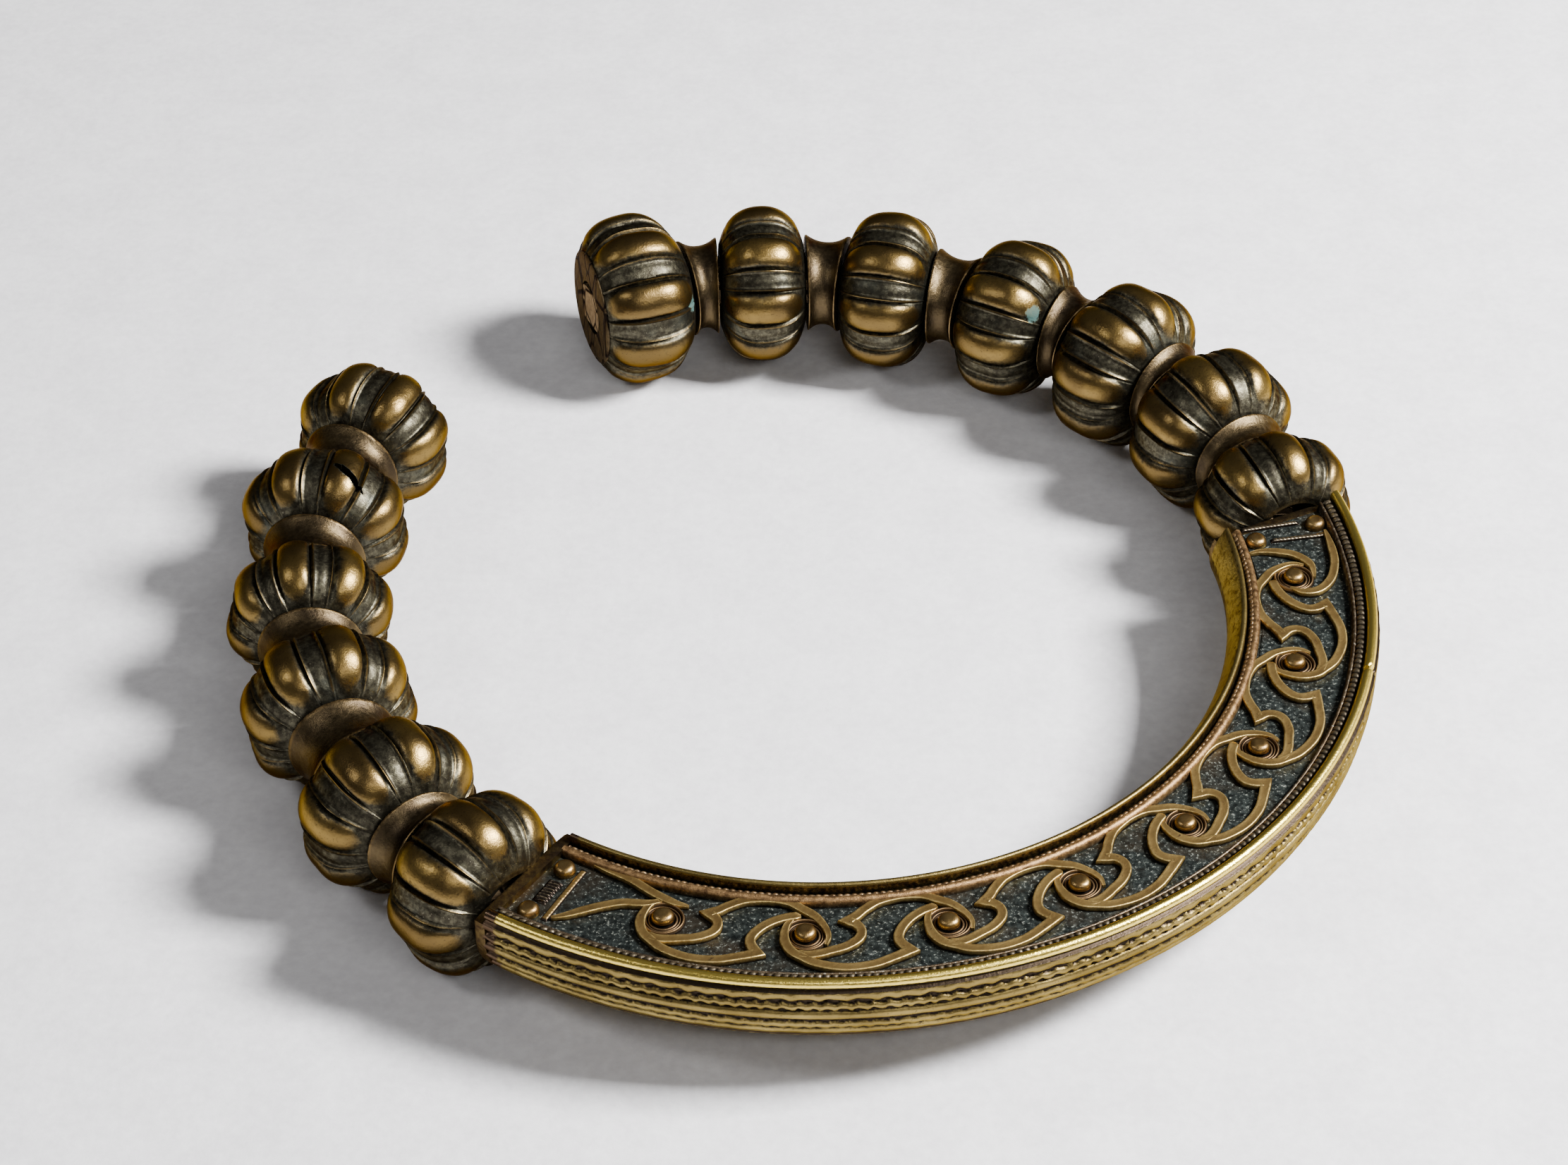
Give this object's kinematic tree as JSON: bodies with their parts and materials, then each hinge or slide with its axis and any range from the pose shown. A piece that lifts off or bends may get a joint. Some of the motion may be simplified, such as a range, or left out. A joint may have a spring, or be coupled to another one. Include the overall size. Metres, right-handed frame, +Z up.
{
  "type": "torc",
  "caption": "Open neck ring of ribbed hollow beads and waisted collars, joined at the front by a curved tray whose sunken plate carries a raised running scroll with domed rivets.",
  "frame": {"origin": "middle of the ring's bounding box on the plane it rests on", "axes": "+Z up out of the flat ring, towards the face of the scroll plate; the opening between the two end beads is towards -X +Y and the tray towards -Y +X"},
  "size_m": [0.1606, 0.1704, 0.026],
  "materials": {
    "bead_bronze": "polished golden-brown lobes with dark patina between them",
    "collar_bronze": "dark brown patina, satin",
    "tray_brass": "worn bright rims over dark grooves",
    "plate_patina": "dark grey-green patina with rubbed golden relief",
    "rivet_bronze": "glossy brown",
    "rod_metal": "rough tan oxide"
  },
  "bodies": {
    "root": {"bead_left_1": "bead_bronze", "bead_left_2": "bead_bronze", "bead_left_3": "bead_bronze", "bead_left_4": "bead_bronze", "bead_left_5": "bead_bronze", "bead_left_6": "bead_bronze", "bead_right_1": "bead_bronze", "bead_right_2": "bead_bronze", "bead_right_3": "bead_bronze", "bead_right_4": "bead_bronze", "bead_right_5": "bead_bronze", "bead_right_6": "bead_bronze", "bead_right_7": "bead_bronze", "boss_rivet_1": "rivet_bronze", "boss_rivet_2": "rivet_bronze", "boss_rivet_3": "rivet_bronze", "boss_rivet_4": "rivet_bronze", "boss_rivet_5": "rivet_bronze", "boss_rivet_6": "rivet_bronze", "boss_rivet_7": "rivet_bronze", "boss_rivet_8": "rivet_bronze", "collar_left_1": "collar_bronze", "collar_left_2": "collar_bronze", "collar_left_3": "collar_bronze", "collar_left_4": "collar_bronze", "collar_left_5": "collar_bronze", "collar_right_1": "collar_bronze", "collar_right_2": "collar_bronze", "collar_right_3": "collar_bronze", "collar_right_4": "collar_bronze", "collar_right_5": "collar_bronze", "collar_right_6": "collar_bronze", "end_rivet_left_inner": "rivet_bronze", "end_rivet_left_outer": "rivet_bronze", "end_rivet_right_inner": "rivet_bronze", "end_rivet_right_outer": "rivet_bronze", "plate": "plate_patina", "rod_left": "rod_metal", "rod_right": "rod_metal", "tray": "tray_brass"}
  },
  "joints": []
}
